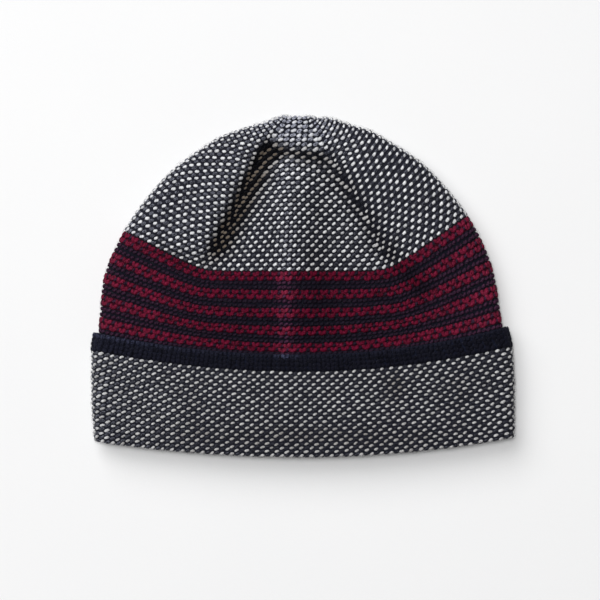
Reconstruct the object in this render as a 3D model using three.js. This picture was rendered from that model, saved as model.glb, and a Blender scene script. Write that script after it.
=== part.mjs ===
// A knit cap with a turned-up cuff, lying on its back with its mouth open.
// Lengths are in millimetres. +X runs across the cap, +Y from the mouth to the crown and +Z up from
// the surface that it lies on. The origin is on that surface, under the middle of the cap.
//
// The cap is one knitted tube. It is drawn as a flattened loop of fabric for each knitted row: a
// straight run on the back, a half round side fold, the front run and the other side fold. The
// tables below give the loops, and everything between two table rows is interpolated.
import * as THREE from "three";

// Driving dimensions
const WALL = 2.4; // the knitted fabric's thickness
const LAYER_GAP = 0.5; // between the cuff's outer wall and the wall that it covers
const SECTION_GAP = 0.3; // left along the fabric between two knitted sections
const FRONT_STEPS = 54; // facets across the front of a loop
const BACK_STEPS = 16; // facets across its flat back

// How sharply the rows of the crown bend at the gore lines
const GORE_BEND = 0.06;

// Rows of the cuff, on the surface midway between its two walls. Row 0 is the fold at the mouth.
//   front, back          Y of the row's middle on the front and on the back
//   left, right          X of its side folds
//   leftRise, rightRise  how far its ends lie nearer the crown than the middle of its front
//   bend                 0 for an even bow, 1 for a row that bends at the gore lines
//   line                 share of the half width at which the gore lines lie
//   floor                height of its back above the surface
//   fold                 radius of its side folds
//   loft                 how far the middle of the front stands above the folds
//   arch                 how far the gore lines pull the front towards the mouth
const CUFF_ROWS = [
  { row: 0, front: -94.35, back: -90.0, left: -115.9, right: 117.3, leftRise: 8.5, rightRise: 10.7,
    bend: 0, line: 0.54, floor: 2.65, fold: 6.85, loft: 1.5, arch: 0 },
  { row: 11, front: -71.0, back: -66.8, left: -117.3, right: 117.3, leftRise: 10.5, rightRise: 12.5,
    bend: 0, line: 0.54, floor: 2.65, fold: 6.85, loft: 1.5, arch: 0 },
  { row: 22, front: -47.9, back: -44.5, left: -117.3, right: 115.9, leftRise: 11.8, rightRise: 14.0,
    bend: 0, line: 0.54, floor: 2.65, fold: 6.85, loft: 1.5, arch: 0 },
  { row: 26, front: -38.6, back: -35.5, left: -115.9, right: 113.2, leftRise: 12.1, rightRise: 15.2,
    bend: 0, line: 0.54, floor: 2.65, fold: 6.85, loft: 1.5, arch: 0 },
];
const RIB_START = 22; // the ribbed border of the cuff begins at this row
const RIB_END = 26; // and ends here, at the cast-on edge
const COVERED_END = 24.5; // the covered wall of the cuff goes over into the band at this row

// Rows of the band and the crown, on the middle of the fabric. The columns are the same.
const BODY_ROWS = [
  { row: 0, front: -42.0, back: -38.9, left: -115.0, right: 112.7, leftRise: 12.2, rightRise: 14.8,
    bend: 0, line: 0.54, floor: 4.1, fold: 5.4, loft: 1.5, arch: 0 },
  { row: 2, front: -37.2, back: -33.6, left: -114.5, right: 111.5, leftRise: 13.4, rightRise: 16.6,
    bend: 0, line: 0.54, floor: 4.1, fold: 5.4, loft: 1.5, arch: 0 },
  { row: 10, front: -17.8, back: -14.0, left: -112.2, right: 106.8, leftRise: 19.3, rightRise: 25.5,
    bend: 0.6, line: 0.54, floor: 1.4, fold: 7.0, loft: 6.0, arch: 0 },
  { row: 20, front: 8.3, back: 9.5, left: -100.3, right: 92.4, leftRise: 22.5, rightRise: 30.9,
    bend: 1, line: 0.54, floor: 1.2, fold: 8.0, loft: 7.3, arch: 0.5 },
  { row: 30, front: 34.4, back: 32.0, left: -77.5, right: 71.0, leftRise: 26.6, rightRise: 30.6,
    bend: 1, line: 0.55, floor: 1.2, fold: 8.0, loft: 8.8, arch: 2 },
  { row: 40, front: 59.2, back: 54.5, left: -50.8, right: 42.0, leftRise: 22.1, rightRise: 25.9,
    bend: 1, line: 0.57, floor: 1.2, fold: 7.0, loft: 8.3, arch: 2 },
  { row: 46, front: 73.8, back: 67.5, left: -33.8, right: 25.0, leftRise: 14.7, rightRise: 17.4,
    bend: 1, line: 0.70, floor: 1.2, fold: 5.5, loft: 6.8, arch: 1 },
  { row: 50, front: 83.6, back: 75.8, left: -23.0, right: 15.0, leftRise: 8.0, rightRise: 11.0,
    bend: 1, line: 0.70, floor: 1.2, fold: 4.7, loft: 4.0, arch: 0 },
  { row: 53, front: 91.4, back: 81.8, left: -14.5, right: 8.0, leftRise: 3.3, rightRise: 3.2,
    bend: 1, line: 0.66, floor: 1.2, fold: 3.9, loft: 1.5, arch: 0 },
  { row: 55, front: 96.1, back: 85.8, left: -10.0, right: 3.5, leftRise: 0.0, rightRise: -0.4,
    bend: 0.6, line: 0.60, floor: 1.2, fold: 2.9, loft: 0, arch: 0 },
];
const BAND_END = 20; // the striped band ends at this row and the crown begins
const TIP = new THREE.Vector3(-3.2, 91.0, 1.8); // where the four gores close, behind the top edge
const TIP_ROW = 57.3;
const TIP_LEAN = new THREE.Vector3(0, 0.2, -1); // the way the fabric faces there

// Creases and soft ridges of the front, each along a line from (x0, y0) to (x1, y1), with its
// height and its width to the left and to the right of that line.
const BODY_FOLDS = [
  { name: "left gore crease", x0: -53.5, y0: 13.5, x1: -19.2, y1: 81.7, height: -7.0, left: 5, right: 10 },
  { name: "left gore bulge", x0: -66.5, y0: 20.0, x1: -34.0, y1: 76.0, height: 2.5, left: 12, right: 8 },
  { name: "right gore crease", x0: 50.0, y0: 15.8, x1: 14.1, y1: 73.8, height: -3.0, left: 8, right: 6 },
  { name: "crown dent", x0: -23.0, y0: 77.0, x1: 15.2, y1: 71.0, height: -3.5, left: 5, right: 5 },
  { name: "centre ridge", x0: -9.0, y0: -36.0, x1: -7.9, y1: 72.0, height: 2.0, left: 5, right: 5 },
  { name: "centre hollow", x0: 11.0, y0: -33.0, x1: 8.5, y1: 65.0, height: -1.8, left: 9, right: 9 },
  { name: "right band crease", x0: 72.7, y0: -8.0, x1: 46.2, y1: 20.3, height: -2.5, left: 6, right: 7 },
  { name: "left band crease", x0: -86.0, y0: 24.0, x1: -57.0, y1: 10.0, height: -2.0, left: 5, right: 5 },
];
const CUFF_FOLDS = [
  { name: "cuff ridge", x0: -9.0, y0: -90.0, x1: -9.0, y1: -40.0, height: 0.8, left: 6, right: 6 },
  { name: "cuff dip", x0: 46.0, y0: -75.0, x1: 52.0, y1: -40.0, height: -0.8, left: 9, right: 9 },
];

// Value of one column at a row between the table's rows, by monotone cubic interpolation.
function columnAt(table, column, row) {
  const last = table.length - 1;
  const at = THREE.MathUtils.clamp(row, table[0].row, table[last].row);
  let i = 0;
  while (i < last - 1 && at > table[i + 1].row) i += 1;
  const slope = (k) =>
    (table[k + 1][column] - table[k][column]) / (table[k + 1].row - table[k].row);
  const tangent = (k) => {
    if (k === 0) return slope(0);
    if (k === last) return slope(last - 1);
    const before = slope(k - 1);
    const after = slope(k);
    return before * after > 0 ? (2 * before * after) / (before + after) : 0;
  };
  const span = table[i + 1].row - table[i].row;
  const t = (at - table[i].row) / span;
  const start = table[i][column];
  const end = table[i + 1][column];
  return (
    start * (2 * t ** 3 - 3 * t ** 2 + 1) +
    tangent(i) * span * (t ** 3 - 2 * t ** 2 + t) +
    end * (3 * t ** 2 - 2 * t ** 3) +
    tangent(i + 1) * span * (t ** 3 - t ** 2)
  );
}

// Share of a row's rise at a share of the half width: an even bow, or a bend at the gore lines.
function riseShare(side, bend, line) {
  const past = (s) => Math.hypot(s - line, GORE_BEND) + (s - line);
  const bent = (past(Math.abs(side)) - past(0)) / (past(1) - past(0));
  return (1 - bend) * side ** 2 + bend * bent;
}

// Height that the creases and ridges add at a point of the front.
function foldHeight(folds, x, y) {
  let height = 0;
  for (const fold of folds) {
    const along = new THREE.Vector2(fold.x1 - fold.x0, fold.y1 - fold.y0);
    const length = along.length();
    along.normalize();
    const from = new THREE.Vector2(x - fold.x0, y - fold.y0);
    const share = from.dot(along) / length;
    const offset = from.x * along.y - from.y * along.x;
    const width = offset > 0 ? fold.right : fold.left;
    height += fold.height * Math.exp(-((offset / width) ** 2)) * Math.exp(-(Math.abs(2 * share - 1) ** 6));
  }
  return height;
}

// Point of a knitted row. turn runs once around the loop, from the middle of the front at 0 by the
// right side fold at 0.25, the middle of the back at 0.5 and the left side fold at 0.75.
function loopPoint(table, folds, turn, row) {
  const at = (column) => columnAt(table, column, row);
  const fold = at("fold");
  const half = (at("right") - at("left")) / 2;
  const straight = half - fold;
  const quarter = straight + (Math.PI / 2) * fold;
  const around = ((turn % 1) + 1) % 1;
  // The loop is the same on both sides, so the left half is the right half mirrored.
  const mirrored = around > 0.5;
  const distance = (mirrored ? 1 - around : around) * 4 * quarter;
  let across = distance; // distance from the loop's middle
  let lift = 1; // 1 on the front, 0 on the back
  if (distance > straight + Math.PI * fold) {
    across = 2 * straight + Math.PI * fold - distance;
    lift = 0;
  } else if (distance > straight) {
    const angle = (distance - straight) / fold;
    across = straight + fold * Math.sin(angle);
    lift = (1 + Math.cos(angle)) / 2;
  }
  const side = (mirrored ? -across : across) / half;
  const x = (at("left") + at("right")) / 2 + side * half;
  const rise = side < 0 ? at("leftRise") : at("rightRise");
  const share = riseShare(side, at("bend"), at("line"));
  const pull = at("arch") * (Math.exp(-((side / 0.35) ** 2)) - 1) * (1 - side ** 4);
  const frontY = at("front") + rise * share + pull;
  const backY = at("back") + (at("front") + rise - at("back")) * share;
  const y = backY + (frontY - backY) * lift;
  let z = at("floor") + 2 * fold * lift;
  const inward = 1 - Math.min(1, across / straight) ** 2;
  if (lift === 1) z += at("loft") * inward ** 1.5 + foldHeight(folds, x, y) * Math.min(1, 3 * inward);
  return new THREE.Vector3(x, y, z);
}

const cuffPoint = (turn, row) => loopPoint(CUFF_ROWS, CUFF_FOLDS, turn, row);

// Past the last row of the table the gores of the body close towards the tip.
function bodyPoint(turn, row) {
  const last = BODY_ROWS[BODY_ROWS.length - 1].row;
  const share = THREE.MathUtils.clamp((row - last) / (TIP_ROW - last), 0, 1);
  return loopPoint(BODY_ROWS, BODY_FOLDS, turn, row).lerp(TIP, share);
}

// Outward direction of the fabric at a point of a row.
function facing(point, turn, row) {
  const step = 0.004;
  const around = point(turn + step, row).sub(point(turn - step, row));
  const along = point(turn, row + 0.25).sub(point(turn, row - 0.25));
  return around.cross(along).normalize();
}

// Places around a loop, closer together by the side folds than in the middle of either side.
function turnsAround() {
  const crowded = (share, amount) => share - (amount * Math.sin(2 * Math.PI * share)) / (2 * Math.PI);
  const turns = [];
  for (let i = 0; i < FRONT_STEPS; i += 1) turns.push(-0.25 + 0.5 * crowded(i / FRONT_STEPS, 0.3));
  for (let i = 0; i < BACK_STEPS; i += 1) turns.push(0.25 + 0.5 * crowded(i / BACK_STEPS, 0.8));
  return turns;
}
const TURNS = turnsAround();

// A ring of points at one row, at a distance outward from the surface.
const ring = (point, row, outward) =>
  TURNS.map((turn) => point(turn, row).addScaledVector(facing(point, turn, row), outward));

// A ring on the round fold at the mouth, where the cuff's outer wall turns under into the other.
// angle runs from 0 on the outside to half a turn on the inside.
function mouthRing(radius, angle) {
  return TURNS.map((turn) => {
    const out = facing(cuffPoint, turn, 0);
    const down = cuffPoint(turn, 0).sub(cuffPoint(turn, 1)).normalize();
    return cuffPoint(turn, 0)
      .addScaledVector(out, radius * Math.cos(angle))
      .addScaledVector(down, radius * Math.sin(angle));
  });
}

// Joins rings into one closed surface. With two poles it closes at a point at each end, and
// without poles the last ring goes over into the first.
function loft(rings, poles = []) {
  const points = [...rings.flat(), ...poles];
  const count = TURNS.length;
  const faces = [];
  const last = poles.length ? rings.length - 1 : rings.length;
  for (let r = 0; r < last; r += 1) {
    const lower = r * count;
    const upper = ((r + 1) % rings.length) * count;
    for (let i = 0; i < count; i += 1) {
      const next = (i + 1) % count;
      faces.push(lower + i, lower + next, upper + next);
      faces.push(lower + i, upper + next, upper + i);
    }
  }
  if (poles.length) {
    const first = rings.length * count;
    const end = (rings.length - 1) * count;
    for (let i = 0; i < count; i += 1) {
      const next = (i + 1) % count;
      faces.push(first, next, i);
      faces.push(first + 1, end + i, end + next);
    }
  }
  const geometry = new THREE.BufferGeometry().setFromPoints(points);
  geometry.setIndex(faces);
  geometry.computeVertexNormals();
  return geometry;
}

// Rows from one to another, evenly spaced.
const rowsBetween = (from, to, steps) =>
  Array.from({ length: steps + 1 }, (_, i) => from + ((to - from) * i) / steps);

// The crown: a dome, closed where the gores meet, on the outside and on the inside.
function crown() {
  const gapRows = SECTION_GAP / 2.4;
  const rows = [...rowsBetween(BAND_END + gapRows, 44, 9), 46.5, 49, 51, 53, 54.2, 55.1, 55.9, 56.6];
  const outside = rows.map((row) => ring(bodyPoint, row, WALL / 2));
  const inside = rows.map((row) => ring(bodyPoint, row, -WALL / 2));
  const lean = TIP_LEAN.clone().normalize();
  const outerTip = TIP.clone().addScaledVector(lean, WALL / 2);
  const innerTip = TIP.clone().addScaledVector(lean, -WALL / 2);
  return loft([...inside.reverse(), ...outside], [innerTip, outerTip]);
}

// The striped band: a sleeve from under the cuff to the crown.
function stripedBand() {
  const rows = [0, 1, 2, 3, 4.5, 6.5, 9, 12, 16, BAND_END];
  const outside = rows.map((row) => ring(bodyPoint, row, WALL / 2));
  const inside = rows.map((row) => ring(bodyPoint, row, -WALL / 2));
  return loft([...inside.reverse(), ...outside]);
}

// The turned-up cuff: an outer wall and a covered wall, in one piece with the fold at the mouth.
function cuff() {
  const middle = LAYER_GAP / 2;
  const face = middle + WALL;
  const gapRows = SECTION_GAP / 2.1;
  const outerRows = rowsBetween(0, RIB_START - gapRows, 3);
  const coveredRows = rowsBetween(0, COVERED_END - gapRows, 3);
  const bends = [0.25, 0.5, 0.75].map((share) => share * Math.PI);
  return loft([
    ...coveredRows.map((row) => ring(cuffPoint, row, -face)).reverse(),
    ...bends.map((angle) => mouthRing(face, angle)).reverse(),
    ...outerRows.map((row) => ring(cuffPoint, row, face)),
    ...outerRows.map((row) => ring(cuffPoint, row, middle)).reverse(),
    ...coveredRows.map((row) => ring(cuffPoint, row, -middle)),
  ]);
}

// The ribbed border on top of the cuff's outer wall, rounded at the cast-on edge.
function cuffEdge() {
  const middle = LAYER_GAP / 2;
  const face = middle + WALL;
  const round = 0.45; // rows over which the edge is rounded
  return loft([
    ring(cuffPoint, RIB_START, face),
    ring(cuffPoint, (RIB_START + RIB_END) / 2, face),
    ring(cuffPoint, RIB_END - round, face),
    ring(cuffPoint, RIB_END, face - WALL / 4),
    ring(cuffPoint, RIB_END, middle + WALL / 4),
    ring(cuffPoint, RIB_END - round, middle),
    ring(cuffPoint, (RIB_START + RIB_END) / 2, middle),
    ring(cuffPoint, RIB_START, middle),
  ]);
}

// Wool finishes. Each is the colour that its knit has from a step away.
const wool = (color) => new THREE.MeshStandardMaterial({ color, roughness: 0.95, metalness: 0 });
const birdseyeKnit = wool("#64656b");
const stripedKnit = wool("#4a1a2a");
const navyKnit = wool("#1b1d29");

function section(name, geometry, material) {
  const mesh = new THREE.Mesh(geometry, material);
  mesh.name = name;
  return mesh;
}

const cap = new THREE.Group();
cap.add(
  section("crown", crown(), birdseyeKnit),
  section("striped_band", stripedBand(), stripedKnit),
  section("cuff", cuff(), birdseyeKnit),
  section("cuff_edge", cuffEdge(), navyKnit),
);

export default cap;
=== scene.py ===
"""A knit cap with a striped band and a turned-up cuff, lying on its back on a pale floor.

The cap is one knitted tube. Tables of knitted rows give its loops, in millimetres, and every stitch
is a pair of yarn arms that is bent onto them. Lengths in Blender are metres: +X runs across the
cap, +Y from its mouth to its crown and +Z up.
"""
import math

import bmesh
import bpy
import numpy as np
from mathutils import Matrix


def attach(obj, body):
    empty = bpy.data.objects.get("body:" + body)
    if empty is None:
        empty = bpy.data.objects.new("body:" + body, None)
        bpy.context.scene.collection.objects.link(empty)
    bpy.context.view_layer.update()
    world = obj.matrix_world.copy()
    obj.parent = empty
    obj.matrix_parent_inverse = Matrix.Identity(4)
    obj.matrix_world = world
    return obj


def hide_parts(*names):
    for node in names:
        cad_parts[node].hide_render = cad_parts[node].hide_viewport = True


bl_info = {
    "name": "Knit cap",
    "version": (1, 0, 0),
    "blender": (4, 5, 0),
    "location": "View3D > Sidebar > Knit cap",
    "description": "Knits a cap in two-colour birdseye with a striped band and a turned-up cuff",
    "category": "Mesh",
}

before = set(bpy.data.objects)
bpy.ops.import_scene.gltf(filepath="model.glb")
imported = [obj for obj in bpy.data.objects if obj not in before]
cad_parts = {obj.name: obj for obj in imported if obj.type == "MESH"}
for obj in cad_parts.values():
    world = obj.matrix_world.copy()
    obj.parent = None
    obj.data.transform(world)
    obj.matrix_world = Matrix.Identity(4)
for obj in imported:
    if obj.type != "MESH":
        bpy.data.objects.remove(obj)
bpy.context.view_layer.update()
BODY = "root"
MM = 0.001

# Sizes across the fabric
HALF_WALL = 1.2  # half of the fabric's thickness
LAYER = 1.45  # from the surface between the cuff's two layers to the middle of the outer one
SKIN = 0.15  # height of a wall's outside over the fabric's middle, under the stitches
COVERED_SKIN = 1.05  # the same deep inside the cuff, where no stitches cover it
FLOOR_GAP = 0.02  # left between the floor and the lowest yarn

# How sharply the rows of the crown bend at the gore lines, and the share of the half width that the
# peak of an arched row takes
GORE_BEND = 0.06
ARCH_PEAK = 0.35

# Rows of knitting: the row's number, y in the middle of the front and of the back, x of the left and
# right side folds, how far the front rises to each of them, how much of that rise is a bend and at
# which share of the half width it bends, the height of the back, the radius of the side folds, how
# far the front bulges and how far it sags beside its middle
COLUMNS = ("row", "front", "back", "left", "right", "left_rise", "right_rise",
           "bend", "line", "floor", "fold", "loft", "arch")
CUFF_ROWS = (
    (0, -94.35, -90.0, -115.9, 117.3, 8.5, 10.7, 0, 0.54, 2.65, 6.85, 1.5, 0),
    (11, -71.0, -66.8, -117.3, 117.3, 10.5, 12.5, 0, 0.54, 2.65, 6.85, 1.5, 0),
    (22, -47.9, -44.5, -117.3, 115.9, 11.8, 14.0, 0, 0.54, 2.65, 6.85, 1.5, 0),
    (26, -38.6, -35.5, -115.9, 113.2, 12.1, 15.2, 0, 0.54, 2.65, 6.85, 1.5, 0),
)
BODY_ROWS = (
    (0, -42.0, -38.9, -115.0, 112.7, 12.2, 14.8, 0, 0.54, 4.1, 5.4, 1.5, 0),
    (2, -37.2, -33.6, -114.5, 111.5, 13.4, 16.6, 0, 0.54, 4.1, 5.4, 1.5, 0),
    (10, -17.8, -14.0, -112.2, 106.8, 19.3, 25.5, 0.6, 0.54, 1.4, 7.0, 6.0, 0),
    (20, 8.3, 9.5, -100.3, 92.4, 22.5, 30.9, 1, 0.54, 1.2, 8.0, 7.3, 0.5),
    (30, 34.4, 32.0, -77.5, 71.0, 26.6, 30.6, 1, 0.55, 1.2, 8.0, 8.8, 2),
    (40, 59.2, 54.5, -50.8, 42.0, 22.1, 25.9, 1, 0.57, 1.2, 7.0, 8.3, 2),
    (46, 73.8, 67.5, -33.8, 25.0, 14.7, 17.4, 1, 0.70, 1.2, 5.5, 6.8, 1),
    (50, 83.6, 75.8, -23.0, 15.0, 8.0, 11.0, 1, 0.70, 1.2, 4.7, 4.0, 0),
    (53, 91.4, 81.8, -14.5, 8.0, 3.3, 3.2, 1, 0.66, 1.2, 3.9, 1.5, 0),
    (55, 96.1, 85.8, -10.0, 3.5, 0.0, -0.4, 0.6, 0.60, 1.2, 2.9, 0, 0),
)
TIP = np.array([-3.2, 91.0, 1.8])
TIP_ROW = 57.3

# How felted the wool is all over, and the painted sheen and highlights laid on as more stray
# fibres where the light catches the tip, a ridge, the crests of folds, the sides and the top
FELT = 0.85
TIP_SHEEN_CENTRE = np.array([-5.0, 89.5, 10.0])  # under the top edge
TIP_SHEEN = 16
TIP_REACH = 20
RIDGE = -10.0  # across, where a soft ridge runs up the front
RIDGE_SHEEN = 9.0
RIDGE_WIDTH = 4.5
RIDGE_START = -40.0  # along, where the ridge comes out of the cuff
RIDGE_FADES = 9.0  # along, where it goes over into the crown
RIDGE_LEFT = 0.25  # share of its painted highlight that is left there
CREST_SHEEN = 0.8
CREST_HEIGHT = 2
SIDE_REACH = 80  # from the middle, where the painted sheen of the sides and the top is as given here
LEFT_SHEEN = 3.0
CUFF_LEFT_SHEEN = 2.0
RIGHT_SHEEN = 4.0
TOP_SHEEN = 1.4
TOP_MIDDLE = 40  # half width of the part in the middle where the top has less painted sheen
DENT_DEPTH = 5  # depth at which the painted shade in a dent is as dark as it gets

# Painted shade: dim, brownish patches on the stitches where creases and folds lie in shade:
# place, reach across and along, and how dim
SHADE_PATCHES = (
    (1.0, 75.5, 12.0, 4.0, 0.22),
    (4.5, 16.5, 5.0, 8.0, 0.3),
    (52.0, -56.0, 6.0, 9.0, 0.4),
    (-30.0, -86.0, 60.0, 8.0, 0.25),
    (50.0, -86.0, 50.0, 9.0, 0.25),
    (-62.0, -72.0, 9.0, 14.0, 0.2),
    (88.0, -60.0, 8.0, 16.0, 0.2),
)

# Creases and ridges: start x and y, end x and y, height, width to the left, width to the right
BODY_FOLDS = (
    (-53.5, 13.5, -19.2, 81.7, -7.0, 5, 10),
    (-66.5, 20.0, -34.0, 76.0, 2.5, 12, 8),
    (50.0, 15.8, 14.1, 73.8, -3.0, 8, 6),
    (-23.0, 77.0, 15.2, 71.0, -3.5, 5, 5),
    (-9.0, -36.0, -7.9, 72.0, 2.0, 5, 5),
    (11.0, -33.0, 8.5, 65.0, -1.8, 9, 9),
    (72.7, -8.0, 46.2, 20.3, -2.5, 6, 7),
    (-86.0, 24.0, -57.0, 10.0, -2.0, 5, 5),
)
CUFF_FOLDS = (
    (-9.0, -90.0, -9.0, -40.0, 0.8, 6, 6),
    (46.0, -75.0, 52.0, -40.0, -0.8, 9, 9),
)

# Rows of the sections and stitches around them
BAND_TOP = 20
CROWN_TOP = 57
BORDER_START = 22
BORDER_END = 26
BODY_STITCHES = 164
CUFF_STITCHES = 172
COVERED_END = 24.4  # the covered layer of the cuff goes over into the band at this row
BEND_ROWS = 2.2  # rows of the cuff that lie around the fold at its mouth
INNER_ROWS = 8  # rows of stitches that show inside the mouth
SEAM = 0.02  # part of a row left between the walls of the band and crown
JOINT = 0.1  # part of a row left between the walls of the cuff and its border
STRIPE_ROWS = 4  # rows of a burgundy and a navy stripe of the band
BURGUNDY_ROWS = 2
CAST_ON = 24.8  # row of the border where its cast-on edge begins

# Points around the walls
CROWN_POINTS = 208
BAND_POINTS = 224
CUFF_POINTS = 232
RIB_POINTS = 6  # around one rib of the border
TIP_RINGS = (54.8, 55.4, 56, 56.6)  # rows of the crown's last rings, which lie closer together

# Section through the border's wall, over its outside and its cast-on edge and down its inside: the
# row and the distance outward from the middle of the layer
BORDER_SECTION = (
    (BORDER_START, -1.1), (BORDER_START, 0.9), (23, 0.95), (24, 0.95), (25, 0.9), (25.6, 0.75),
    (25.95, 0.35), (26.05, -0.2), (25.95, -0.8), (25.6, -1.1), (24, -1.15),
)
RIB_SWELL = 0.2

# Gores of the crown: the turns of the gore lines left and right of the front gore, then how many
# stitches lie from the front's middle to the line, from there to the side fold and from the fold to
# the back's middle, and how many the side gore has lost at the line by this row
GORE_COLUMNS = ("row", "left_line", "right_line", "front", "side", "back", "lost")
GORE_ROWS = (
    (0, 0.120, 0.122, 19, 22.3, 40.7, 0),
    (10, 0.119, 0.121, 19, 22.3, 40.7, 0),
    (20, 0.1235, 0.1265, 19, 22.3, 40.7, 0),
    (25, 0.125, 0.1275, 18.5, 21.7, 38, 0.8),
    (30, 0.122, 0.130, 16.9, 20.9, 34.2, 2),
    (35, 0.1235, 0.1345, 13.6, 18.4, 30.2, 4),
    (40, 0.128, 0.1365, 9.9, 14.7, 24.6, 7.2),
    (44, 0.1465, 0.1475, 7.5, 11.4, 18.9, 10.4),
    (48, 0.158, 0.158, 5.3, 8, 13.3, 13.6),
    (51, 0.160, 0.155, 3.6, 5, 8.6, 16.2),
    (55, 0.150, 0.150, 1.7, 2.2, 3.9, 19.6),
    (57.3, 0.150, 0.150, 0.6, 0.8, 1.4, 21.4),
)
FRONT_GORE, RIGHT_GORE, BACK_GORE, LEFT_GORE = range(4)
FRONT_HALF = 19  # stitches of half the front gore at its foot

# Arms of a stitch in its own cell: centre across and along, tilt in degrees, half length, half
# width, and how far it sinks
SLIM_ARMS = ((0.57, 0.54, 44, 0.45, 0.35, 0), (0.36, 0.42, 20, 0.38, 0.34, 0.1))
CUFF_ARMS = ((0.56, 0.53, 34, 0.46, 0.34, 0), (0.36, 0.44, 14, 0.36, 0.30, 0.2))
EDGE_ARMS = ((-0.02, 0.5, 62, 0.66, 0.52, -0.8), (0.98, 0.5, 118, 0.66, 0.52, -0.8))
FULL_ARMS = ((0.82, 0.50, 54, 0.72, 0.47, -0.30), (0.14, 0.46, 120, 0.66, 0.44, -0.20))

# Share of a row's slope that stitches turn back, where the row falls and where it rises to the
# right, row by row up the body and the same all over the cuff
LEAN_COLUMNS = ("row", "falling", "rising")
BODY_LEAN = (
    (20, 0.0, 0.3),
    (30, 0.0, 0.9),
    (45, 0.5, 0.9),
)
CUFF_LEAN = 0.8

# How the columns of the cuff draw together in front, with the row and with its square
GATHER = 0.055
LATE_GATHER = 0.05

# Limits of a stitch's slant and of its height for its width, how much less of a tall cell it fills,
# and how far the ends of an arm lie below its middle
MOST_SLANT = 1.5
SHORTEST = 0.6
TALLEST = 1.6
TALL_CELL = 1.3
ARM_BOW = 0.42

# How unevenly stitches lie: how much their arms differ, and how much whole stitches do
UNEVEN_SIZE = (0.05, 0.05)
UNEVEN_TURN = (0.06, 0.06)
UNEVEN_PLACE = (0.02, 0.05)
UNEVEN_HEIGHT = 0.05

# Tone and painted shade of stitches: the lightest tone, how far the others spread below it and
# how rare the dark ones are, then how high on an arm the painted shade of its low parts starts to
# fade and how far it fades from there up
TONE = 1.3
TONE_SPREAD = 2.3
TONE_SKEW = 2.5
LIFT_START = 0.6
LIFT_SPAN = 1.3

# Hairs: half thickness, shortest and longest half length, how high over the fabric's middle they lie
# at least, and the height of a row of the knitting under them
HAIR_HALF = 0.035
HAIR_LENGTHS = (0.8, 3.0)
HAIR_HEIGHT = 1.25
ROW_HEIGHT = 2.5

# Stage, in metres: the place in the middle of the picture, and the places and sizes of the lights
VIEW_MIDDLE = (-0.00169, -0.00789, 0.018)
WINDOW_PLACE = (-1.3, 1.6, 2.46)
WINDOW_SIZE = 2.8
TOP_PLACE = (-0.20, 0.24, 4.0)
TOP_SIZE = 0.9
SKY_COLOUR = (0.97, 0.985, 1.0, 1)


class KnitSettings(bpy.types.PropertyGroup):
    yarn_height: bpy.props.FloatProperty(
        name="Yarn height", description="Height of a stitch's middle over the fabric's middle",
        default=0.00068, min=0, unit="LENGTH")
    yarn_thickness: bpy.props.FloatProperty(
        name="Yarn thickness", description="Half of the yarn's thickness, out of the fabric",
        default=0.00056, min=0, unit="LENGTH")
    looseness: bpy.props.FloatProperty(
        name="Looseness", description="How unevenly the stitches lie", default=1.0, min=0, max=3,
        subtype="FACTOR")
    hairs: bpy.props.IntProperty(
        name="Hairs", description="Number of loose wool hairs on the cap", default=9800, min=1)


def colour_setting(name, description, default):
    return bpy.props.FloatVectorProperty(
        name=name, description=description, subtype="COLOR", default=default, min=0, max=1)


class YarnSettings(bpy.types.PropertyGroup):
    pale: colour_setting("Pale yarn", "Colour of the undyed yarn", (0.72, 0.725, 0.74))
    navy: colour_setting("Navy yarn", "Colour of the dark yarn", (0.0065, 0.0065, 0.012))
    burgundy: colour_setting("Burgundy yarn", "Colour of the stripes", (0.060, 0.0008, 0.0085))
    hair: colour_setting("Hairs", "Colour of the loose hairs", (0.06, 0.062, 0.075))


class StageSettings(bpy.types.PropertyGroup):
    view_width: bpy.props.FloatProperty(
        name="View width", description="Width of the floor that the camera takes in",
        default=0.33804, min=0.01, unit="LENGTH")
    camera_height: bpy.props.FloatProperty(
        name="Camera height", description="Height of the camera over the cap", default=2.0, min=0.1,
        unit="LENGTH")
    window_power: bpy.props.FloatProperty(
        name="Window light", description="Power of the large light at the upper left", default=82,
        min=0, unit="POWER")
    top_power: bpy.props.FloatProperty(
        name="Top light", description="Power of the light overhead", default=86, min=0, unit="POWER")
    sky: bpy.props.FloatProperty(
        name="Sky light", description="Strength of the light from all around", default=0.05, min=0)


# Shape of the knitted tube

def knit_table(rows, columns):
    """A table of rows as one array for each named column."""
    return dict(zip(columns, np.array(rows, float).T))


CUFF_TABLE = knit_table(CUFF_ROWS, COLUMNS)
BODY_TABLE = knit_table(BODY_ROWS, COLUMNS)
GORE_TABLE = knit_table(GORE_ROWS, GORE_COLUMNS)
LEAN_TABLE = knit_table(BODY_LEAN, LEAN_COLUMNS)


def column_at(table, name, row):
    """Value of one column at rows between the table's rows, by monotone cubic interpolation."""
    rows = table["row"]
    values = table[name]
    slopes = np.diff(values) / np.diff(rows)
    before = slopes[:-1]
    after = slopes[1:]
    even = before * after > 0
    middle = np.where(even, 2 * before * after / np.where(even, before + after, 1), 0)
    tangents = np.concatenate([slopes[:1], middle, slopes[-1:]])
    at = np.clip(row, rows[0], rows[-1])
    i = np.clip(np.searchsorted(rows, at) - 1, 0, len(rows) - 2)
    span = rows[i + 1] - rows[i]
    t = (at - rows[i]) / span
    return (values[i] * (2 * t ** 3 - 3 * t ** 2 + 1)
            + tangents[i] * span * (t ** 3 - 2 * t ** 2 + t)
            + values[i + 1] * (3 * t ** 2 - 2 * t ** 3)
            + tangents[i + 1] * span * (t ** 3 - t ** 2))


def rise_share(side, bend, line):
    """Share of a row's rise: an even bow, or a bend at the gore lines."""
    def past(s):
        return np.hypot(s - line, GORE_BEND) + (s - line)
    bent = (past(np.abs(side)) - past(0)) / (past(1) - past(0))
    return (1 - bend) * side ** 2 + bend * bent


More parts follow.
